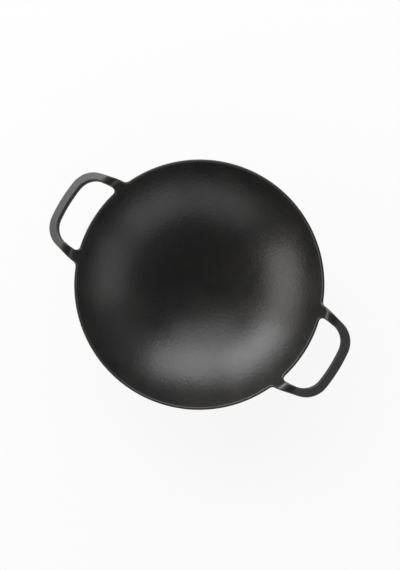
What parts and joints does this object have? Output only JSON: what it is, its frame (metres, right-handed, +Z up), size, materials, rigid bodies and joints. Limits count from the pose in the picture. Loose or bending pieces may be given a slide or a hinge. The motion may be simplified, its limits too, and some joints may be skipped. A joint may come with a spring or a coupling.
{
  "type": "kadai",
  "caption": "Round-bottomed cast iron kadai with a flat foot and a loop handle at each end, for frying and stewing on a hob.",
  "frame": {"origin": "middle of the flat foot, on the surface that the pan stands on", "axes": "+Z up along the bowl's axis, X through the two handles, Y across the bowl"},
  "size_m": [0.39, 0.3, 0.0967],
  "materials": {
    "seasoned_iron": "fine-grained cast skin with a baked-on oil seasoning, black and satin"
  },
  "bodies": {
    "root": {"bowl": "seasoned_iron", "handle_left": "seasoned_iron", "handle_right": "seasoned_iron"}
  },
  "joints": []
}
